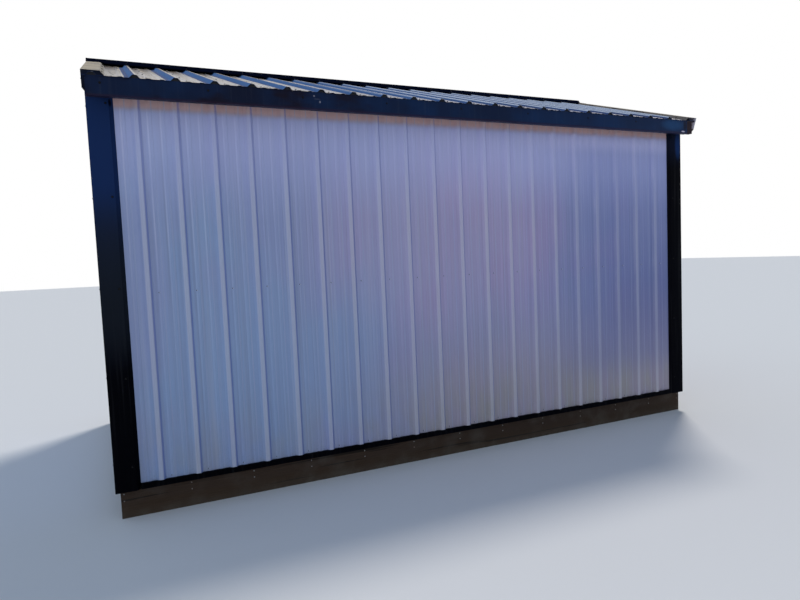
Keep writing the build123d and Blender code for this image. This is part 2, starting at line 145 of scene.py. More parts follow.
def start_finish(name):
    """a new material, its empty node tree and the place on the object in metres"""
    material = bpy.data.materials.new(name)
    material.use_nodes = True
    tree = material.node_tree
    tree.nodes.clear()
    return material, tree, add_node(tree, "TexCoord").outputs["Object"]


def end_finish(tree, sockets):
    """the shader with its colour, gloss and relief, and the material's output"""
    shader = add_node(tree, "BsdfPrincipled", sockets)
    add_node(tree, "OutputMaterial", {"Surface": shader})


def zone(tree, parts, mask=None, **edges):
    """a mask over part of the object: along each axis it rises softly from 0 at the first place to 1"""
    for axis, (start, end) in edges.items():
        edge = add_node(tree, "MapRange", {0: parts.outputs[axis], 1: start, 2: end},
                        interpolation_type="SMOOTHSTEP")
        mask = edge if mask is None else add_node(tree, "Math", {0: mask, 1: edge}, operation="MULTIPLY")
    return mask


def patches(tree, place, scale, start, end, stretch=(1, 1, 1), shift=(0, 0, 0), detail=3.0):
    """a mask of soft-edged patches: scale is patches a metre, and stretch slows it along an axis"""
    laid = add_node(tree, "Mapping", {"Vector": place, "Location": shift, "Scale": stretch})
    cloud = add_node(tree, "TexNoise", {"Vector": laid, "Scale": scale, "Detail": detail, "Roughness": 0.55})
    return add_node(tree, "MapRange", {0: cloud, 1: start, 2: end}, interpolation_type="SMOOTHSTEP")


def coated(tree, colour, coats):
    """a colour under its coats: each is a mask, how strong the coat is there, and its own colour"""
    for mask, strength, code in coats:
        share = add_node(tree, "Math", {0: mask, 1: strength}, operation="MULTIPLY")
        colour = add_node(tree, "Mix", {0: share, 6: colour, 7: to_linear(code)}, data_type="RGBA")
    return colour


def timber(name, along, pale, dark, ring_dark, pith):
    """sawn softwood with its grain along one axis, cut from a log whose heart lies at pith across it"""
    material, tree, place = start_finish(name)
    slow = [1.0, 1.0, 1.0]
    slow[along] = 0.06
    wander = add_node(tree, "Mapping", {"Vector": place, "Scale": slow})
    cloud = add_node(tree, "TexNoise", {"Vector": wander, "Scale": 9.0, "Detail": 3.0})
    bent = add_node(tree, "VectorMath", {0: cloud.outputs["Color"], "Scale": 0.030}, operation="SCALE")
    moved = add_node(tree, "VectorMath", {0: place, 1: bent}, operation="ADD")
    flat = [1.0, 1.0, 1.0]
    flat[along] = 0.0
    section = add_node(tree, "VectorMath", {0: moved, 1: flat}, operation="MULTIPLY")
    heart = list(pith)
    heart.insert(along, 0.0)
    radius = add_node(tree, "VectorMath", {0: section, 1: heart}, operation="DISTANCE")
    turns = add_node(tree, "Math", {0: radius, 1: 1.0 / ring_spacing}, operation="MULTIPLY")
    ring = add_node(tree, "Math", {0: turns}, operation="FRACT")
    late_wood = add_node(tree, "MapRange", {0: ring, 1: 0.45, 2: 0.95}, interpolation_type="SMOOTHSTEP")
    fibres = patches(tree, place, 160.0, 0.35, 0.70, stretch=slow)
    boards = patches(tree, place, 1.6, 0.35, 0.65, stretch=slow)
    slow[along] = 0.02
    checks = patches(tree, place, 42.0, 0.66, 0.70, stretch=slow, shift=(3.1, 1.7, 5.3), detail=1.0)
    colour = coated(tree, to_linear(pale), [(boards, 1.0, dark), (late_wood, 0.55, ring_dark),
                                            (fibres, 0.35, dark), (checks, 0.85, "17120E")])
    height = add_node(tree, "Math", {0: late_wood, 1: 0.4, 2: fibres}, operation="MULTIPLY_ADD")
    height = add_node(tree, "Math", {0: checks, 1: -2.5, 2: height}, operation="MULTIPLY_ADD")
    return material, tree, place, colour, height


def end_timber(tree, colour, height, depth, rough):
    """ends a timber's finish with its colour and the relief of its grain"""
    relief = add_node(tree, "Bump", {"Height": height, "Strength": 0.6, "Distance": depth})
    end_finish(tree, {"Base Color": colour, "Roughness": rough, "Specular IOR Level": 0.25, "Normal": relief})


def treated(name, along, pale, dark, pith, grime):
    """treated timber outdoors: incised, weathered grey in patches, grimy towards the ground"""
    material, tree, place, colour, height = timber(name, along, pale, dark, "2B2119", pith)
    rows = [1.0 / incision_spacing] * 3
    rows[along] = 0.5 / incision_length
    laid = add_node(tree, "Mapping", {"Vector": place, "Scale": rows})
    slits = add_node(tree, "TexVoronoi", {"Vector": laid, "Scale": 1.0, "Randomness": 0.25})
    slit = add_node(tree, "MapRange", {0: slits, 1: 0.20, 2: 0.08}, interpolation_type="SMOOTHSTEP")
    height = add_node(tree, "Math", {0: slit, 1: -1.2, 2: height}, operation="MULTIPLY_ADD")
    silver = patches(tree, place, 5.0, 0.45, 0.75)
    blotches = patches(tree, place, 11.0, 0.40, 0.72)
    blotches = add_node(tree, "Math", {0: blotches, 1: 0.55}, operation="ADD")
    low = zone(tree, add_node(tree, "SeparateXYZ", {0: place}), blotches, Z=(0.070, 0.0))
    colour = coated(tree, colour, [(slit, 0.55, "1C1611"), (silver, 0.35, "57514A"), (low, grime, "5E594F")])
    end_timber(tree, colour, height, 0.0016, 0.86)
    return material


runner_finish = treated("incised_pressure_treated_pine_runner", 0, "463628", "2C221A", (-1.345, 0.020), 0.28)
band_finish = treated("incised_pressure_treated_pine_band", 0, "46372B", "2E231C", (-1.330, 0.170), 0.1)
joist_finish = treated("incised_pressure_treated_pine_joist", 1, "46372B", "2E231C", (0.35, 0.120), 0.1)


def dress(material, *nodes):
    """gives every slot of the CAD nodes' objects one material"""
    for node in nodes:
        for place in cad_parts[node].material_slots:
            place.material = material


dress(runner_finish, "runners")
dress(band_finish, "floor_band")
dress(joist_finish, "floor_joists")


# Nails through the band into each joist: hot-dip galvanised heads in pairs, dulled to a grey with a
# little rust bleeding from them. They are driven home, so only the thin heads stand out of the wood.
nail_head = 0.0085
nail_stand = 0.0006
nail_rows = (0.112, 0.156)
joist_spacing = 0.4064
joist_half = 0.019
joist_count = 13
head_taper = 0.88
washer_taper = 0.72


def start_group(name, inputs):
    """a Geometry Nodes tree that takes places and the named inputs and gives pieces"""
    group = bpy.data.node_groups.new(name, "GeometryNodeTree")
    for label, kind in {"Places": "Geometry", **inputs}.items():
        group.interface.new_socket(label, in_out="INPUT", socket_type="NodeSocket" + kind)
    group.interface.new_socket("Pieces", in_out="OUTPUT", socket_type="NodeSocketGeometry")
    return group, add_node(group, "NodeGroupInput").outputs


def stood_on_places(group, given, shape, turns, size=(1.0, 1.0, 1.0)):
    """a shape made real on every place, its top along the way out, turned at random between two turns"""
    facing = add_node(group, "GeometryNodeInputNamedAttribute", {"Name": "facing"}, data_type="FLOAT_VECTOR")
    aimed = add_node(group, "FunctionNodeAlignRotationToVector", {"Vector": facing}, axis="Z")
    angle = add_node(group, "FunctionNodeRandomValue", {"Seed": given["Seed"], "Min": turns[0],
                     "Max": turns[1]}, data_type="FLOAT_VECTOR")
    spun = add_node(group, "FunctionNodeRotateRotation", {"Rotation": aimed, "Rotate By": angle},
                    rotation_space="LOCAL")
    points = add_node(group, "GeometryNodeMeshToPoints", {"Mesh": given["Places"]})
    placed = add_node(group, "GeometryNodeInstanceOnPoints", {"Points": points, "Instance": shape,
                      "Rotation": spun, "Scale": size})
    return add_node(group, "GeometryNodeRealizeInstances", {"Geometry": placed})


def fixing_tree(name, sides, washer_sides):
    """puts a fixing's head, and its washer where it has one, on each place, facing as told"""
    group, given = start_group(name, {"Head Radius": "Float", "Head Height": "Float", "Seed": "Int",
                                      "Washer Radius": "Float", "Washer Height": "Float",
                                      "Head Finish": "Material", "Washer Finish": "Material"})
    top = add_node(group, "Math", {0: given["Head Radius"], 1: head_taper}, operation="MULTIPLY")
    head = add_node(group, "GeometryNodeMeshCone", {"Vertices": sides, "Radius Bottom": given["Head Radius"],
                    "Radius Top": top, "Depth": given["Head Height"]})
    seat = add_node(group, "CombineXYZ", {"Z": given["Washer Height"]})
    seated = add_node(group, "GeometryNodeTransform", {"Geometry": head, "Translation": seat})
    shapes = add_node(group, "GeometryNodeJoinGeometry", {0: seated})
    if washer_sides:
        top = add_node(group, "Math", {0: given["Washer Radius"], 1: washer_taper}, operation="MULTIPLY")
        washer = add_node(group, "GeometryNodeMeshCone", {"Vertices": washer_sides, "Radius Top": top,
                          "Radius Bottom": given["Washer Radius"], "Depth": given["Washer Height"]})
        noted = add_node(group, "GeometryNodeStoreNamedAttribute", {"Geometry": washer, "Name": "washer",
                         "Value": True}, data_type="BOOLEAN", domain="FACE")
        group.links.new(noted.outputs[0], shapes.inputs[0])
    real = stood_on_places(group, given, shapes, ((0.0, 0.0, 0.0), (0.0, 0.0, 3.1)))
    dressed = add_node(group, "GeometryNodeSetMaterial", {"Geometry": real, "Material": given["Head Finish"]})
    if washer_sides:
        washers = add_node(group, "GeometryNodeInputNamedAttribute", {"Name": "washer"}, data_type="BOOLEAN")
        dressed = add_node(group, "GeometryNodeSetMaterial", {"Geometry": dressed, "Selection": washers,
                           "Material": given["Washer Finish"]})
    add_node(group, "NodeGroupOutput", {"Pieces": dressed})
    return group


def fixings(name, places, group, inputs):
    """one plain mesh of like fixings; places are pairs of a point on the surface and the way out of it"""
    carrier = bpy.data.meshes.new(name + "_places")
    carrier.from_pydata([tuple(point) for point, out in places], [], [])
    facing = carrier.attributes.new("facing", "FLOAT_VECTOR", "POINT")
    facing.data.foreach_set("vector", [part for point, out in places for part in out])
    holder = put(name + "_places", carrier)
    modifier = holder.modifiers.new(name, "NODES")
    modifier.node_group = group
    identifiers = {item.name: item.identifier for item in group.interface.items_tree
                   if item.item_type == "SOCKET" and item.in_out == "INPUT"}
    for label, value in inputs.items():
        modifier[identifiers[label]] = value
    depsgraph = bpy.context.evaluated_depsgraph_get()
    mesh = bpy.data.meshes.new_from_object(holder.evaluated_get(depsgraph), depsgraph=depsgraph)
    mesh.name = name
    holder.modifiers.remove(modifier)
    bpy.data.objects.remove(holder)
    bpy.data.meshes.remove(carrier)
    piece = put(name, mesh)
    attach(piece, "root")


galvanised, tree, place = start_finish("weathered_hot_dip_galvanised_steel")
rust = patches(tree, place, 60.0, 0.45, 0.62)
bare = add_node(tree, "Math", {0: rust, 1: -0.54, 2: 0.9}, operation="MULTIPLY_ADD")
end_finish(tree, {"Base Color": coated(tree, to_linear("8B8E90"), [(rust, 0.6, "6B4630")]),
                  "Metallic": bare, "Roughness": 0.55})

nail_tree = fixing_tree("flat_nail_heads", 12, 0)
joist_places = [frame_low.x + joist_half + k * joist_spacing for k in range(joist_count - 1)]
joist_places.append(frame_high.x - joist_half)
nails = []
for x in joist_places:
    for z in nail_rows:
        nails.append((Vector((x, frame_low.y, z)), (0, -1, 0)))
        nails.append((Vector((x, frame_high.y, z)), (0, 1, 0)))
fixings("band_nails", nails, nail_tree, {"Head Radius": nail_head / 2, "Head Height": nail_stand,
        "Seed": 3, "Head Finish": galvanised})


# Floor deck, wall framing, roof framing and roof deck: bright sawn spruce and strand board that the
# steel hides, seen only from below and where a fascia stops short of the roof's corner.

def from_middle(tree, place):
    """how far the place is from the shed's middle, as X, Y and Z"""
    away = add_node(tree, "VectorMath", {0: place}, operation="ABSOLUTE")
    return add_node(tree, "SeparateXYZ", {0: away})


def dry_spruce(name, along, pith):
    """kiln-dried spruce that has stayed out of the weather"""
    material, tree, place, colour, height = timber(name, along, "D2B078", "B8935C", "96693A", pith)
    end_timber(tree, colour, height, 0.0006, 0.70)
    return material


spruce_x = dry_spruce("sawn_spruce_along_the_wall", 0, (0.40, 0.90))
spruce_y = dry_spruce("sawn_spruce_across_the_shed", 1, (0.35, 0.80))
spruce_z = dry_spruce("sawn_spruce_upright", 2, (0.45, 0.55))
dress(spruce_x, "front_plates", "back_plates", "wall_blocking", "ridge_board", "door_header",
      "door_head_jamb")
dress(spruce_y, "end_plates", "rafters")
dress(spruce_z, "front_studs", "back_studs", "end_studs", "gable_studs", "door_jambs", "door_core")

strand_board, tree, place = start_finish("oriented_strand_board")
strand_width = 0.022
laid = add_node(tree, "Mapping", {"Vector": place, "Scale": (0.35, 1.0, 1.0)})
strands = add_node(tree, "TexVoronoi", {"Vector": laid, "Scale": 1.0 / strand_width})
strand_tone = add_node(tree, "SeparateXYZ", {0: strands.outputs["Color"]}).outputs["X"]
glue = add_node(tree, "MapRange", {0: strands, 1: 0.35, 2: 0.65}, interpolation_type="SMOOTHSTEP")
apart = from_middle(tree, place)
# Painted shade: the board's edges at the eaves and the gable ends are drawn near-black, as they lie deep
# under the trims.
painted_shade_edge = add_node(tree, "Math", {0: zone(tree, apart, Y=(1.40, 1.46)),
                     1: zone(tree, apart, X=(2.40, 2.43))}, operation="MAXIMUM")
colour = coated(tree, to_linear("C49A5F"), [(strand_tone, 1.0, "A67B45"), (glue, 0.5, "7A5630"),
                                            (painted_shade_edge, 1.0, "2A2126")])
relief = add_node(tree, "Bump", {"Height": strand_tone, "Strength": 0.5, "Distance": 0.0006})
end_finish(tree, {"Base Color": colour, "Roughness": 0.75, "Normal": relief})
dress(strand_board, "floor_deck", "roof_deck")


# Eave and rake boards: sawn cedar nailed to the rafters' ends and over the gables, with the trims folded
# over it. What shows of it, ends and undersides, lies deep in the trims' shadow, so its near-black maroon
# colours are painted shade.
for name, node, along, pale, dark, ring_dark, pith in (
        ("sawn_cedar_eave_board_in_painted_shade", "eave_boards", 0, "2A1024", "1A0A18", "12060E", (1.45, 2.55)),
        ("sawn_cedar_rake_board_in_painted_shade", "rake_boards", 1, "33191C", "1F1216", "160C10", (0.4, 2.9))):
    material, tree, place, colour, height = timber(name, along, pale, dark, ring_dark, pith)
    end_timber(tree, colour, height, 0.0008, 0.75)
    dress(material, node)


# Siding: roll-formed ribbed steel in a white baked polyester paint, satin and a little chalky. Its
# colours are painted shade and sky light: the white is drawn in the blue to lilac of open shade. Rain
# leaves faint upright streaks, the ground splashes the lowest part with dust, and the top few
# centimetres under the eave carry a painted warm reflection.
wall_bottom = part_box("front_siding")[0].z
wall_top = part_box("front_siding")[1].z
splash_height = 0.62
warm_reflection_height = 0.075
streak_width = 0.022
sheet_wave = 0.45
crown_highlight_strength = 0.42
rib_stand = 0.019
siding_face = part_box("front_siding")[0].y + rib_stand


def spot(tree, place, middle, reach):
    """a mask of one soft mark on the blank wall's side: its middle and half size along X and Z"""
    laid = add_node(tree, "Mapping", {"Vector": place, "Scale": (1.0 / reach[0], 0.0, 1.0 / reach[1]),
                    "Location": (-middle[0] / reach[0], 0.0, -middle[1] / reach[1])})
    away = add_node(tree, "VectorMath", {0: laid, 1: laid}, operation="DOT_PRODUCT")
    mark = add_node(tree, "MapRange", {0: away, 1: 1.0, 2: 0.0}, interpolation_type="SMOOTHSTEP")
    return zone(tree, add_node(tree, "SeparateXYZ", {0: place}), mark, Y=(-1.0, -1.3))


def way_out(tree):
    """the way that a face turns, as X, Y and Z"""
    return add_node(tree, "SeparateXYZ", {0: add_node(tree, "NewGeometry").outputs["True Normal"]})


def white_paint(name, under_eave):
    """white siding paint drawn in its open-shade blue; a gable's ribs get painted shade on one side and
    painted light on the other, and a long wall gets a painted warm reflection and painted light under the
    eave, painted highlights on its rib crowns, painted light on its low ribs' right faces, and on the blank
    side painted shade on the high ribs' right faces and at the far end, and a painted pink light in the
    middle"""
    material, tree, place = start_finish(name)
    parts = add_node(tree, "SeparateXYZ", {0: place})
    drifts = patches(tree, place, 1.3, 0.40, 0.62, stretch=(1, 1, 0.6), shift=(5, 2, 0))
    drifts = add_node(tree, "Math", {0: drifts, 1: 0.35}, operation="MULTIPLY")
    # Painted sky light: a lilac tint that grows towards the right, with random drifts added to it.
    painted_lilac_light_and_drifts = add_node(tree, "Math", {0: zone(tree, parts, X=(-2.0, 1.2)), 1: 0.60, 2: drifts},
                     operation="MULTIPLY_ADD")
    # Painted shade: the lower right of the wall is drawn darker and bluer.
    painted_shade_lower_right = zone(tree, parts, X=(0.6, 2.4), Z=(2.3, 0.9))
    streaks = patches(tree, place, 1.0 / streak_width, 0.42, 0.75, stretch=(1, 1, 0.012))
    pale_runs = patches(tree, place, 0.6 / streak_width, 0.55, 0.80, stretch=(1, 1, 0.010), shift=(9, 4, 1))
    greyed = zone(tree, parts, X=(-1.1, 0.1), Z=(1.35, 0.30))
    splash = patches(tree, place, 7.0, 0.30, 0.70, stretch=(1, 1, 0.35))
    splash = zone(tree, parts, splash, Z=(wall_bottom + splash_height, wall_bottom))
    more = add_node(tree, "Math", {0: zone(tree, parts, X=(-1.2, 0.3)), 1: 0.40, 2: 0.35},
                    operation="MULTIPLY_ADD")
    splash = add_node(tree, "Math", {0: splash, 1: more}, operation="MULTIPLY")
    specks = patches(tree, place, 170.0, 0.66, 0.74, detail=1.0)
    specks = zone(tree, parts, specks, Z=(wall_bottom + 0.22, wall_bottom))
    coats = [(painted_lilac_light_and_drifts, 1.0, "9A94C0"), (painted_shade_lower_right, 0.75, "5A5E8C"), (streaks, 0.40, "7A85A2"),
             (pale_runs, 0.45, "B0B8CC"), (greyed, 0.8, "A298A6"), (splash, 1.0, "9A9893"),
             (specks, 0.5, "6C675E")]
    turned = way_out(tree)
    if not under_eave:
        # Painted shade and light: rib faces that turn to +Y are drawn darker, and those that turn to -Y
        # paler.
        coats += [(zone(tree, turned, Y=(0.10, 0.30)), 0.35, "6E7AA8"),
                  (zone(tree, turned, Y=(-0.10, -0.30)), 0.35, "D0D6EE")]
    else:
        apart = from_middle(tree, place)
        # Painted shade: the far end of the blank wall, between its top and bottom, is drawn bluer and darker.
        painted_shade_far_end = zone(tree, parts, X=(0.6, 1.6), Y=(0.5, -0.5), Z=(0.30, 0.65))
        painted_shade_far_end = zone(tree, parts, painted_shade_far_end, Z=(2.50, 2.38))
        pale_mark = spot(tree, place, (-0.237, 2.575), (0.010, 0.006))
        # Painted warm reflection: a pale pink band a few centimetres high just under the eave.
        painted_warm_reflection = zone(tree, parts, Z=(wall_top - 0.045 - warm_reflection_height, wall_top - 0.060))
        # Painted shade on the high ribs' right faces of the blank wall, and painted light on the low ribs'
        # right faces.
        to_right = zone(tree, turned, X=(0.10, 0.30))
        tall = zone(tree, apart, to_right, Y=(-siding_face + 0.0035, -siding_face + 0.0060))
        in_shade = zone(tree, parts, tall, Y=(0.5, -0.5))
        painted_light_low_rib_flanks = add_node(tree, "Math", {0: to_right, 1: tall}, operation="SUBTRACT")
        # Painted highlight on the high ribs' crowns, stronger lower down.
        lower = add_node(tree, "Math", {0: zone(tree, parts, Z=(2.62, 2.10)), 1: 0.65, 2: 0.35},
                         operation="MULTIPLY_ADD")
        painted_crown_highlight = zone(tree, apart, lower, Y=(-siding_face + 0.012, -siding_face + 0.017))
        # Painted light over the upper part of the wall, against the shade under the eave, less within the
        # warm band.
        painted_light_top = add_node(tree, "Math", {0: zone(tree, parts, X=(-1.8, 1.5)), 1: 0.20, 2: 0.58},
                             operation="MULTIPLY_ADD")
        painted_light_top = zone(tree, parts, painted_light_top, Z=(wall_top - 0.85, wall_top - 0.15))
        painted_light_top = add_node(tree, "Math", {0: painted_warm_reflection, 1: -0.8, 2: painted_light_top}, operation="MULTIPLY_ADD")
        # Painted light: a broad pink glow over the middle of the blank wall.
        painted_pink_light = spot(tree, place, (-0.05, 1.75), (1.30, 0.95))
        coats += [(painted_pink_light, 0.20, "DCA7C2"), (pale_mark, 0.8, "E4DCD4"), (painted_warm_reflection, 0.80, "E8BCB2"),
                  (in_shade, 0.5, "6E80D0"), (painted_light_low_rib_flanks, 0.4, "B8C4E4"), (painted_crown_highlight, crown_highlight_strength, "CACBD8"),
                  (painted_light_top, 1.0, "BEC2F0"), (painted_shade_far_end, 0.32, "395EA8")]
    chalk = patches(tree, place, 3.0, 0.30, 0.75)
    rough = add_node(tree, "Math", {0: chalk, 1: 0.16, 2: 0.36}, operation="MULTIPLY_ADD")
    waves = add_node(tree, "TexNoise", {"Vector": place, "Scale": 1.0 / sheet_wave, "Detail": 1.0})
    relief = add_node(tree, "Bump", {"Height": waves, "Strength": 0.35, "Distance": 0.012})
    # The base colour is painted shade: the white paint is drawn in the blue that it shows in open shade.
    end_finish(tree, {"Base Color": coated(tree, to_linear("8AA2C8"), coats), "Roughness": rough,
                      "Normal": relief})
    return material


long_wall_paint = white_paint("white_baked_polyester_long_wall", True)
gable_paint = white_paint("white_baked_polyester_gable", False)
dress(long_wall_paint, "front_siding", "back_siding_left", "back_siding_right", "back_siding_over_door")
dress(gable_paint, "left_siding", "right_siding", "door_panels")


# Side laps of the siding: every fourth high rib is where the next sheet's edge rib lies over the last,
# so a second skin follows the rib and ends in raw edges on the flats beside it.
rib_pitch = 0.2286
rib_foot = 0.030
rib_crown = 0.011
rib_count = 22
first_rib = frame_low.x + 0.017
lap_skin = 0.0007
lap_foot = rib_foot + 0.006
lap_section = [(-lap_foot, 0.0), (-rib_foot, 0.0), (-rib_crown, rib_stand), (rib_crown, rib_stand),
               (rib_foot, 0.0), (lap_foot, 0.0)]
lap_levels = (wall_bottom + 0.001, wall_top - 0.004)
lap_ribs = range(4, rib_count - 1, 4)
clear = 0.0001
door_border = 0.04


def strip_mesh(name, sections, material):
    """skins swept straight between two places; each section is its two ends' points and the way out"""
    points, faces = [], []
    for start, end, out in sections:
        base = len(points)
        count = len(start)
        skin = Vector(out) * lap_skin
        for ring in (start, end):
            points += [tuple(point) for point in ring]
            points += [tuple(point + skin) for point in ring]
        for k in range(count - 1):
            low, high = base + k, base + 2 * count + k
            faces.append((low, low + 1, high + 1, high))
            faces.append((low + count, high + count, high + count + 1, low + count + 1))
        for ring in (0, 2 * count):
            faces += [(base + ring + k, base + ring + k + 1, base + ring + count + k + 1,
                       base + ring + count + k) for k in range(count - 1)]
        for k in (0, count - 1):
            faces.append((base + k, base + count + k, base + 3 * count + k, base + 2 * count + k))
    mesh = bpy.data.meshes.new(name)
    mesh.from_pydata(points, [], faces)
    mesh.materials.append(material)
    mesh.validate()
    turn_outwards(mesh)
    piece = put(name, mesh)
    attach(piece, "root")


def turn_outwards(mesh):
    """makes every face of closed shells point outwards"""
    shell = bmesh.new()
    shell.from_mesh(mesh)
    bmesh.ops.recalc_face_normals(shell, faces=shell.faces)
    shell.to_mesh(mesh)
    shell.free()


wall_ribs = [first_rib + k * rib_pitch for k in range(rib_count)]
door_low, door_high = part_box("door_casing_head")
laps = []
for k in lap_ribs:
    x = wall_ribs[k]
    for side in (-1, 1):
        face = siding_face if side < 0 else -siding_face
        if side > 0 and door_low.x - door_border < x < door_high.x + door_border:
            continue
        rings = [[Vector((x + u, face + side * (v + clear), z)) for u, v in lap_section]
                 for z in lap_levels]
        laps.append((rings[0], rings[1], (0, side, 0)))
strip_mesh("siding_side_laps", laps, long_wall_paint)


# Siding screws: hex heads in the wall's white on black rubber washers, one in the flat just right of
# each rib, through to the sole plate, the blocking and the top plate.
screw_head = 0.0040
screw_head_height = 0.0036
washer_radius = 0.0072
washer_height = 0.0020
screw_offset = 0.066
screw_rows = (0.228, 1.412, 2.638)
trim_cover = 0.13
beside_door = 0.01
gable_ribs = 13


def flecked(name, code, fleck_code, strength, scale, start, end, sockets, stretch=(1, 1, 1)):
    """a finish of one colour with soft flecks of another, and the shader's other sockets"""
    material, tree, place = start_finish(name)
    flecks = patches(tree, place, scale, start, end, stretch=stretch)
    colour = coated(tree, to_linear(code), [(flecks, strength, fleck_code)])
    end_finish(tree, {"Base Color": colour, **sockets})
    return material


rubber = flecked("black_epdm_washer_rubber", "0D0E10", "1D1E21", 0.5, 200.0, 0.40, 0.70,
                 {"Roughness": 0.80, "Specular IOR Level": 0.10})
white_head = flecked("white_painted_screw_head", "AEB7CC", "7C7F83", 0.4, 300.0, 0.64, 0.72,
                     {"Roughness": 0.45, "Specular IOR Level": 0.15})
black_head = flecked("black_painted_screw_head", "07090E", "7C7F83", 0.4, 300.0, 0.64, 0.72,
                     {"Roughness": 0.50, "Specular IOR Level": 0.15})
screw_tree = fixing_tree("hex_washer_head_screws", 6, 12)
white_screw = {"Head Radius": screw_head, "Head Height": screw_head_height, "Washer Radius": washer_radius,
               "Washer Height": washer_height, "Seed": 11, "Head Finish": white_head,
               "Washer Finish": rubber}
black_screw = {**white_screw, "Head Finish": black_head, "Seed": 23}

gable_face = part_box("left_siding")[0].x + rib_stand
trim_edge_x = frame_high.x - trim_cover
trim_edge_y = frame_high.y - trim_cover
places = []
for z in screw_rows:
    for x in wall_ribs:
        across = x + screw_offset
        if abs(across) < trim_edge_x:
            places.append((Vector((across, siding_face, z)), (0, -1, 0)))
            if z > door_high.z or not door_low.x - beside_door < across < door_high.x + beside_door:
                places.append((Vector((across, -siding_face, z)), (0, 1, 0)))
    for k in range(gable_ribs):
        across = frame_low.y + k * rib_pitch + screw_offset
        if abs(across) < trim_edge_y:
            places.append((Vector((gable_face, across, z)), (-1, 0, 0)))
            places.append((Vector((-gable_face, across, z)), (1, 0, 0)))
fixings("siding_screws", places, screw_tree, white_screw)


# Folded trims: the same steel in near-black satin paint, drawn with a painted navy reflection of the sky and
# painted shade lower down. Corner trims, base trims, fascias, soffits, ridge cap, the door's casing, border
# and sill, and rake trims, whose tops hold a film of dust that blooms to a pale cream where it is looked
# along.
dust_fleck = 0.0028
dust_bloom = to_linear("FFE8C4")


def black_trim_paint(name, code="0A1120", mottle_and_sky_reflection_tone="121B33", dusty=0.05, bare_side=0, dusty_top=False,
                     blotched=False, gloss=0.06, marks=()):
    """near-black paint with a painted navy reflection of the sky towards the right and painted shade lower
    down; bare_side of 1 or -1 shows the pale backing coat on faces that turn to +X or -X, and a mark is a
    spot's middle, reach, colour and strength"""
    material, tree, place = start_finish(name)
    parts = add_node(tree, "SeparateXYZ", {0: place})
    turned = way_out(tree)
    mottled = patches(tree, place, 2.2, 0.35, 0.70)
    # Painted reflection: a navy tint of the sky that grows towards the right, on top of random mottling.
    mottle_and_painted_sky_reflection = add_node(tree, "Math", {0: mottled, 1: zone(tree, parts, X=(-1.5, 2.4))}, operation="ADD")
    # Painted shade: the paint goes near-black lower down, and at the right-hand end already just below the
    # top.
    shaded = add_node(tree, "Math", {0: zone(tree, parts, Z=(2.3, 0.7)),
                      1: zone(tree, parts, X=(1.0, 2.2), Z=(2.56, 2.25))}, operation="MAXIMUM")
    runs = patches(tree, place, 38.0, 0.50, 0.78, stretch=(1, 1, 0.03))
    flecks = patches(tree, place, 1.0 / dust_fleck, 0.70, 0.78, detail=1.0)
    coats = [(mottle_and_painted_sky_reflection, 0.5, mottle_and_sky_reflection_tone), (shaded, 0.92, "030305"), (runs, dusty, "77787A"),
             (flecks, dusty * 1.5, "9A948A")]
    if bare_side:
        coats.append((zone(tree, turned, X=(0.90 * bare_side, 0.95 * bare_side)), 1.0, "ECE6F6"))
    if blotched:
        dull = patches(tree, place, 4.5, 0.44, 0.60, stretch=(0.6, 1, 1.4))
        coats.append((zone(tree, parts, dull, X=(-0.2, -1.2)), 0.7, "150A14"))
        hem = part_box("fascias")[0].z + 0.006
        coats.append((zone(tree, parts, Z=(hem + 0.010, hem)), 0.5, "2B1D2E"))
    bloom = 0.0
    if dusty_top:
        apart = from_middle(tree, place)
        bloom = zone(tree, apart, patches(tree, place, 5.0, 0.1, 0.6), Y=(0.14, 0.17))
        bloom = zone(tree, turned, bloom, Z=(0.30, 0.50))
        coats.append((bloom, 0.25, "CCBFAC"))
    for middle, reach, tint, strength in marks:
        coats.append((spot(tree, place, middle, reach), strength, tint))
    rough = add_node(tree, "Math", {0: mottled, 1: 0.12, 2: 0.34}, operation="MULTIPLY_ADD")
    waves = add_node(tree, "TexNoise", {"Vector": place, "Scale": 3.5, "Detail": 1.0})
    relief = add_node(tree, "Bump", {"Height": waves, "Strength": 0.4, "Distance": 0.010})
    end_finish(tree, {"Base Color": coated(tree, to_linear(code), coats), "Roughness": rough,
                      "Specular IOR Level": gloss, "Normal": relief, "Sheen Weight": bloom,
                      "Sheen Roughness": 0.30, "Sheen Tint": dust_bloom})
    return material


trim_paint = black_trim_paint("near_black_baked_polyester_trim")
# Of the corner trims' marks, the first two are a painted navy reflection of the sky fading down the blank
# wall's left corner, the third is a small near-black mark, and the last is a painted navy reflection at the
# top of its right corner.
corner_paint = black_trim_paint("near_black_baked_polyester_corner", gloss=0.012,
                                marks=[((-2.400, 2.450), (0.300, 1.100), "1D315B", 1.0),
                                       ((-2.400, 1.500), (0.300, 0.600), "1F242C", 0.8),
                                       ((-2.335, 2.575), (0.012, 0.030), "020205", 0.9),
                                       ((2.432, 2.500), (0.045, 0.160), "24427C", 0.55)])
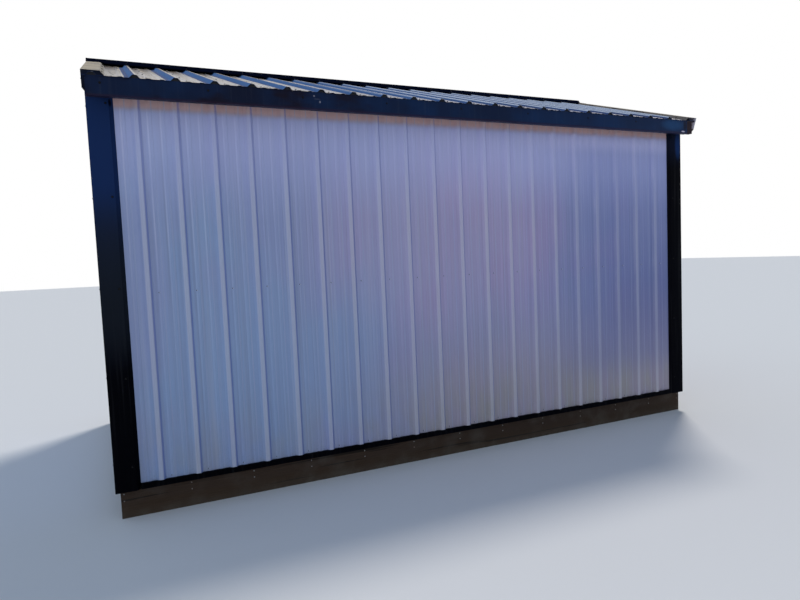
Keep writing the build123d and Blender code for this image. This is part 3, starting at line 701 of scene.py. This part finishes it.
# Marks on the blank wall's fascia: pale scuffs and a dark line near the lap where the middle length starts, a
# pale spot at the lower corner near the right end, a painted reflection of the sky in a lighter navy over the
# right end, and a near-black patch at the very end.
fascia_scuffs_and_painted_light = [((-1.100, 2.661), (0.008, 0.006), "9A98A4", 0.8), ((-1.061, 2.624), (0.007, 0.010), "9A98A4", 0.8),
          ((-1.080, 2.642), (0.030, 0.003), "5C5E70", 0.6), ((2.325, 2.588), (0.028, 0.008), "D8D0E0", 0.9),
          ((2.200, 2.640), (0.170, 0.060), "2A5684", 0.42), ((2.350, 2.640), (0.030, 0.060), "0A0A18", 0.7)]
fascia_paint = black_trim_paint("near_black_baked_polyester_fascia", "0E172E", "16325A", blotched=True,
                                marks=fascia_scuffs_and_painted_light)
cap_paint = black_trim_paint("near_black_baked_polyester_ridge_cap", "060B1A", "0A1226", 0.01, gloss=0.0)
left_rake_paint = black_trim_paint("near_black_rake_trim_left", bare_side=1, dusty_top=True)
right_rake_paint = black_trim_paint("near_black_rake_trim_right", bare_side=-1, dusty_top=True)
dress(trim_paint, "soffits", "door_casing_sides", "door_casing_head", "door_stiles", "door_rails")
dress(corner_paint, "corner_trims", "base_trims")
dress(fascia_paint, "fascias")
dress(black_trim_paint("near_black_scuffed_threshold", dusty=0.35), "threshold")
dress(cap_paint, "ridge_cap")
dress(left_rake_paint, "left_rake_trims")
dress(right_rake_paint, "right_rake_trims")


# Base trim ends: at each corner trim the folded angle's open end is closed by a tab of the same steel,
# bent over from its face, so the floor's wood doesn't show.
base_low, base_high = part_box("base_trims")
tab_in = 0.0009
fold_thickness = 0.0012
corner_width = 0.150
levels = (base_low.z + 0.0005, base_high.z - fold_thickness)
tabs = []
for sx in (-1, 1):
    for sy in (-1, 1):
        x = sx * (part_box("corner_trims")[1].x - corner_width - tab_in)
        y = sy * (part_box("corner_trims")[1].y - corner_width - tab_in)
        reaches = (frame_high.y + 2 * clear, base_high.y - fold_thickness)
        rings = [[Vector((x, sy * reach, z)) for reach in reaches] for z in levels]
        tabs.append((rings[0], rings[1], (sx, 0, 0)))
        reaches = (frame_high.x + 2 * clear, base_high.x - fold_thickness)
        rings = [[Vector((sx * reach, y, z)) for reach in reaches] for z in levels]
        tabs.append((rings[0], rings[1], (0, sy, 0)))
strip_mesh("base_trim_end_tabs", tabs, trim_paint)


# Trim screws: the same hex heads in black. Corner trims take them down both lips, and fascias in a row
# near the top, with one more before the last lap.
trim_face_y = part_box("corner_trims")[0].y
trim_face_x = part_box("corner_trims")[0].x
fascia_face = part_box("fascias")[0].y
fascia_screw_level = 2.647
fascia_screws = [-2.380 + 0.602 * k for k in range(7)] + [1.760]
corner_screw_levels = [0.33 + 0.56 * k for k in range(5)]
corner_screw_inset = 0.108
places = []
for x in fascia_screws:
    places.append((Vector((x, fascia_face, fascia_screw_level)), (0, -1, 0)))
    places.append((Vector((-x, -fascia_face, fascia_screw_level)), (0, 1, 0)))
for z in corner_screw_levels:
    for sx in (-1, 1):
        for sy in (-1, 1):
            across = -trim_face_x - corner_screw_inset
            places.append((Vector((sx * across, -sy * trim_face_y, z)), (0, sy, 0)))
            across = -trim_face_y - corner_screw_inset
            places.append((Vector((-sx * trim_face_x, sy * across, z)), (sx, 0, 0)))
fixings("trim_screws", places, screw_tree, black_screw)


# Roofing: the same ribbed sheet in near-black, drawn navy, which is partly painted sky reflection. A film of
# dust lies on its flats, thicker near the eaves, and blooms to a pale cream where it is looked along. A dark
# strip beside each rib is painted reflection of the rib, edged with a painted highlight line; the ribs' left
# faces carry a painted blue reflection of the sky, and their bends and crowns painted highlights.
roof_pitch = 4 / 12
roof_slope = atan(roof_pitch)
sheet_lift = 0.012
deck_lift = 0.011
deck_gap_half = 0.005
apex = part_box("roof_deck")[1].z + deck_gap_half * roof_pitch - deck_lift / cos(roof_slope)
before_rib = [1.0 - (rib_foot + gap) / rib_pitch for gap in (0.038, 0.034, 0.028, 0.024)]
roof_finish, tree, place = start_finish("near_black_baked_polyester_roofing_dusty")
parts = add_node(tree, "SeparateXYZ", {0: place})
apart = from_middle(tree, place)
rise = add_node(tree, "Math", {0: parts.outputs["Z"], 1: apex}, operation="SUBTRACT")
rise = add_node(tree, "Math", {0: rise, 1: cos(roof_slope)}, operation="MULTIPLY")
out = add_node(tree, "Math", {0: apart.outputs["Y"], 1: sin(roof_slope), 2: rise}, operation="MULTIPLY_ADD")
pitches = add_node(tree, "Math", {0: parts.outputs["X"], 1: wall_ribs[0]}, operation="SUBTRACT")
pitches = add_node(tree, "Math", {0: pitches, 1: 1.0 / rib_pitch}, operation="MULTIPLY")
within = add_node(tree, "Math", {0: pitches}, operation="FRACT")
laid = add_node(tree, "CombineXYZ", {"X": within, "Y": apart.outputs["Y"], "Z": out})
sheet = add_node(tree, "SeparateXYZ", {0: laid})
# Painted reflection: a strip on the flat left of each rib is kept dark, free of dust and bloom, for the rib's
# flank mirrored in the flat, and it is edged with a painted highlight line.
rib_reflection_strip = zone(tree, sheet, X=before_rib[2:])
painted_highlight_line = add_node(tree, "Math", {0: zone(tree, sheet, X=before_rib[:2]), 1: rib_reflection_strip}, operation="SUBTRACT")
outside_rib_reflection = add_node(tree, "Math", {0: 1.0, 1: rib_reflection_strip}, operation="SUBTRACT")
on_flats = zone(tree, sheet, outside_rib_reflection, Z=(sheet_lift + 0.009, sheet_lift + 0.006))
on_crowns = zone(tree, sheet, X=(0.20, 0.10), Z=(sheet_lift + 0.0165, sheet_lift + 0.0180))
in_the_open = add_node(tree, "Math", {0: on_flats, 1: on_crowns}, operation="ADD")
in_the_open = zone(tree, apart, in_the_open, X=(2.36, 2.35))
drift = patches(tree, place, 6.0, 0.30, 0.65, stretch=(1, 0.4, 1))
drift = add_node(tree, "Math", {0: drift, 1: 0.08, 2: 0.06}, operation="MULTIPLY_ADD")
low_down = add_node(tree, "Math", {0: zone(tree, sheet, Y=(0.2, 1.5)), 1: 0.30, 2: 0.70},
                    operation="MULTIPLY_ADD")
dust = add_node(tree, "Math", {0: in_the_open, 1: drift}, operation="MULTIPLY")
dust = add_node(tree, "Math", {0: dust, 1: low_down}, operation="MULTIPLY")
grit = patches(tree, place, 230.0, 0.56, 0.64, detail=2.0)
grit_there = add_node(tree, "Math", {0: grit, 1: in_the_open}, operation="MULTIPLY")
# Painted highlights: the pale line beside each rib and the ribs' crowns.
painted_highlights = add_node(tree, "Math", {0: painted_highlight_line, 1: in_the_open}, operation="MULTIPLY")
painted_crown_highlights = add_node(tree, "Math", {0: on_crowns, 1: 0.35 / 0.6}, operation="MULTIPLY")
painted_highlights = add_node(tree, "Math", {0: painted_highlights, 1: painted_crown_highlights}, operation="MAXIMUM")
bloom = zone(tree, parts, in_the_open, X=(1.0, -1.5))
bloom = add_node(tree, "Math", {0: bloom, 1: 0.7}, operation="MULTIPLY")
turned = way_out(tree)
# Painted sky reflection: the ribs' left faces are drawn blue, and painted highlights run along their upper
# bends.
left_flanks = zone(tree, turned, X=(-0.25, -0.45))
painted_highlight_on_bends = zone(tree, sheet, left_flanks, Z=(sheet_lift + 0.011, sheet_lift + 0.015))
painted_highlight_on_bends = zone(tree, parts, painted_highlight_on_bends, X=(-1.3, 0.2))
left_flanks = zone(tree, parts, left_flanks, X=(1.6, -1.6), Y=(0.1, -0.1))
# The navy of the base colour is partly painted sky reflection on the near-black paint.
colour = coated(tree, to_linear("143264"), [(patches(tree, place, 1.7, 0.35, 0.65), 1.0, "1A3C72"),
                (dust, 1.0, "C8A87C"), (left_flanks, 0.55, "2A70B0"), (grit_there, 0.28, "5B5144"),
                (painted_highlights, 0.6, "D8D6D0"), (painted_highlight_on_bends, 0.75, "DCE6F4")])
rough = add_node(tree, "Math", {0: in_the_open, 1: -0.80, 2: 0.95}, operation="MULTIPLY_ADD")
relief = add_node(tree, "Bump", {"Height": grit, "Strength": 0.12, "Distance": 0.00032})
end_finish(tree, {"Base Color": colour, "Roughness": rough, "Specular IOR Level": 0.50, "Normal": relief,
                  "Sheen Weight": bloom, "Sheen Roughness": 0.30, "Sheen Tint": dust_bloom})
dress(roof_finish, "front_roofing", "back_roofing")


def on_roof(x, down, lift, side):
    """a point on a slope: down from the ridge, lift out from the rafters' tops, side -1 blank or 1 door"""
    return Vector((x, side * down * cos(roof_slope),
                   apex + lift / cos(roof_slope) - down * sin(roof_slope)))


def out_of_roof(side):
    """the way square out of a slope"""
    return Vector((0, side * sin(roof_slope), cos(roof_slope)))


# Side laps of the roofing: as on the walls, every fourth rib carries the next sheet's edge rib, with its
# raw edges on the flats. They run from under the ridge cap to the eaves.
eave_down = 1.6438
cap_down = 0.160
laps = []
for k in lap_ribs:
    for side in (-1, 1):
        out = out_of_roof(side)
        rings = [[on_roof(wall_ribs[k] + u, down, sheet_lift, side) + out * (v + clear)
                  for u, v in lap_section] for down in (cap_down, eave_down - 0.002)]
        laps.append((rings[0], rings[1], out))
strip_mesh("roof_side_laps", laps, roof_finish)


# Roof screws: black heads beside every rib, in four rows down each slope, and on the ridge cap's flanges
# and the rake trims' flats and legs, where they hold the folded steel to the boards.
roof_screw_downs = (0.30, 0.74, 1.18, 1.60)
rake_screw_downs = (0.28, 0.70, 1.12, 1.52)
rake_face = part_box("right_rake_trims")[1].x
rake_lip_lift = 0.027
rake_lip_inset = 0.109
rake_leg_lift = -0.018
cap_flange_lift = 0.040
cap_screw_down = 0.120
places = []
for side in (-1, 1):
    out = out_of_roof(side)
    for x in wall_ribs[1:-1]:
        places.append((on_roof(x, cap_screw_down, cap_flange_lift, side), out))
        for down in roof_screw_downs:
            places.append((on_roof(x + screw_offset, down, sheet_lift, side), out))
fixings("roof_screws", places, screw_tree, {**black_screw, "Seed": 31})
places = []
for side in (-1, 1):
    for end in (-1, 1):
        for down in rake_screw_downs:
            lip = on_roof(end * (rake_face - rake_lip_inset), down, rake_lip_lift, side)
            places.append((lip, out_of_roof(side) * 0.70 + Vector((-end * 0.71, 0, 0))))
            places.append((on_roof(end * rake_face, down, rake_leg_lift, side), (end, 0, 0)))
fixings("rake_screws", places, screw_tree, {**black_screw, "Seed": 47})


# Closures: strips of black closed-cell foam cut to the rib and pushed into each rib's end at the eaves.
# The cut face is matt and pitted, a shade paler than the trims beside it.
foam, tree, place = start_finish("black_closed_cell_foam")
cells = add_node(tree, "TexVoronoi", {"Vector": place, "Scale": 420.0})
cell = add_node(tree, "MapRange", {0: cells, 1: 0.15, 2: 0.55}, interpolation_type="SMOOTHSTEP")
relief = add_node(tree, "Bump", {"Height": cell, "Strength": 0.7, "Distance": 0.0012})
end_finish(tree, {"Base Color": coated(tree, to_linear("08090D"), [(cell, 1.0, "171A22")]),
                  "Roughness": 0.92, "Normal": relief})
dress(foam, "eave_closures")


# The blank wall's fascia is in three lengths. The middle one laps over the first and hangs a
# millimetre low; the last laps over it and stops short of the corner.
fascia_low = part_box("fascias")[0].z
fascia_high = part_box("fascias")[1].z
fascia_lengths = ((-1.065, 2.100), (2.060, 2.375))
lap_drop = 0.001
return_depth = 0.036
skins = []
for order, (start, end) in enumerate(fascia_lengths):
    face = fascia_face - clear - order * lap_skin
    low = fascia_low - lap_drop - order * 2 * lap_skin
    rings = [[Vector((x, face, fascia_high - 0.002)), Vector((x, face, low))] for x in (start, end)]
    skins.append((rings[0], rings[1], (0, -1, 0)))
    rings = [[Vector((x, face - lap_skin, low)), Vector((x, face + return_depth, low))] for x in (start, end)]
    skins.append((rings[0], rings[1], (0, 0, -1)))
strip_mesh("fascia_laps", skins, fascia_paint)


# Crumbs of dry leaf, cone scale and grit that the wind drops on the roof. They lie in the flats, thicker
# towards the eaves, a few caught against the ribs.
crumb_count = 520
crumb_size = 0.0042
flat_half = 0.075
eave_margin = 0.012
crowding = 1.7


def litter_tree(name):
    """scatters a flat irregular crumb on each place, turned and sized at random"""
    group, given = start_group(name, {"Crumb Radius": "Float", "Seed": "Int", "Finish": "Material"})
    crumb = add_node(group, "GeometryNodeMeshIcoSphere", {"Radius": given["Crumb Radius"], "Subdivisions": 1})
    size = add_node(group, "FunctionNodeRandomValue", {"Seed": given["Seed"], "Min": (0.5, 0.3, 0.15),
                    "Max": (1.8, 0.9, 0.45)}, data_type="FLOAT_VECTOR")
    real = stood_on_places(group, given, crumb, ((-0.25, -0.25, 0.0), (0.25, 0.25, 6.2)), size)
    dressed = add_node(group, "GeometryNodeSetMaterial", {"Geometry": real, "Material": given["Finish"]})
    add_node(group, "NodeGroupOutput", {"Pieces": dressed})
    return group


leaf_crumb = flecked("dry_leaf_crumbs_and_grit", "2E2620", "6A5A46", 1.0, 35.0, 0.40, 0.60,
                     {"Roughness": 0.9})
wind = random.Random(20)
places = []
for crumb in range(crumb_count):
    side = 1 if crumb % 2 else -1
    middle = wall_ribs[wind.randrange(0, rib_count - 2)] + rib_pitch / 2
    x = middle + wind.uniform(-flat_half, flat_half)
    down = eave_down - eave_margin - (eave_down - cap_down - 0.02) * wind.random() ** crowding
    places.append((on_roof(x, down, sheet_lift + 0.0008, side), out_of_roof(side)))
fixings("roof_litter", places, litter_tree("wind_blown_litter"), {"Crumb Radius": crumb_size, "Seed": 5,
        "Finish": leaf_crumb})


# Door hardware: forged strap hinges and a T handle in black powder coat, worn to grey in small patches,
# with dome-headed bolts through the straps and leaves.
hardware, tree, place = start_finish("black_powder_coated_steel")
grain = add_node(tree, "TexNoise", {"Vector": place, "Scale": 900.0, "Detail": 1.0})
worn = patches(tree, place, 55.0, 0.62, 0.72)
rough = add_node(tree, "Math", {0: worn, 1: -0.105, 2: 0.5}, operation="MULTIPLY_ADD")
relief = add_node(tree, "Bump", {"Height": grain, "Strength": 0.25, "Distance": 0.0004})
end_finish(tree, {"Base Color": coated(tree, to_linear("090A0D"), [(worn, 0.7, "34363A")]),
                  "Roughness": rough, "Specular IOR Level": 0.12, "Normal": relief})
dress(hardware, "hinges", "door_handle")

hinge_low, hinge_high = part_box("hinges")
leaf_width = 0.060
hinge_pin = hinge_low.x + leaf_width
strap_thickness = 0.004
strap_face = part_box("door_casing_head")[1].y + strap_thickness
hinge_height = 0.130
strap_bolts = (0.050, 0.125, 0.200, 0.275)
leaf_bolt_in = 0.034
leaf_bolts = (-0.045, 0.0, 0.045)
handle_bolts = (-0.027, 0.027)
hinge_middles = [hinge_low.z + hinge_height / 2 + k * (hinge_high.z - hinge_low.z - hinge_height) / 2
                 for k in range(3)]
bolt_radius = 0.0055
bolt_height = 0.0030
places = []
for z in hinge_middles:
    for reach in strap_bolts:
        places.append((Vector((hinge_pin + reach, strap_face, z)), (0, 1, 0)))
    for rise in leaf_bolts:
        places.append((Vector((hinge_pin - leaf_bolt_in, strap_face, z + rise)), (0, 1, 0)))
handle_low, handle_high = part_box("door_handle")
handle_x = (handle_low.x + handle_high.x) / 2
handle_z = (handle_low.z + handle_high.z) / 2
for dx in handle_bolts:
    for dz in handle_bolts:
        places.append((Vector((handle_x + dx, strap_face, handle_z + dz)), (0, 1, 0)))
bolt_tree = fixing_tree("dome_head_bolts", 12, 16)
fixings("door_bolts", places, bolt_tree, {"Head Radius": bolt_radius * 0.6,
        "Head Height": bolt_height * 0.4, "Washer Radius": bolt_radius, "Washer Height": bolt_height * 0.6,
        "Seed": 3, "Head Finish": hardware, "Washer Finish": hardware})


# Lock: the keyed cylinder's face in the handle's plate, and the slot for the key in it. The face is satin
# nickel, which shows a soft upright brushing, and the keyway is a flat near-black sheet: painted shade for
# the slot.
nickel = flecked("satin_nickel_lock_face", "A9A8A2", "77766F", 1.0, 400.0, 0.40, 0.60,
                 {"Metallic": 1.0, "Roughness": 0.35}, stretch=(1, 1, 0.1))
keyway = flecked("keyway_painted_shade", "050505", "14110D", 1.0, 500.0, 0.40, 0.60, {"Roughness": 0.7})
lock_z = handle_z - 0.021
lock_height = 0.0026
lock_radius = 0.0048
lock_collar = 0.0068
slot_half = 0.0008
slot_reach = 0.0036
fixings("lock_face", [(Vector((handle_x, strap_face, lock_z)), (0, 1, 0))], fixing_tree("lock_faces", 24, 32),
        {"Head Radius": lock_radius, "Head Height": lock_height / 2, "Washer Radius": lock_collar,
         "Washer Height": lock_height / 2, "Seed": 1, "Head Finish": nickel,
         "Washer Finish": hardware})
slot_face = strap_face + lock_height + clear / 2
rings = [[Vector((handle_x - slot_half, slot_face, z)), Vector((handle_x + slot_half, slot_face, z))]
         for z in (lock_z - slot_reach, lock_z + slot_reach)]
strip_mesh("lock_keyway", [(rings[0], rings[1], (0, 0.3, 0))], keyway)
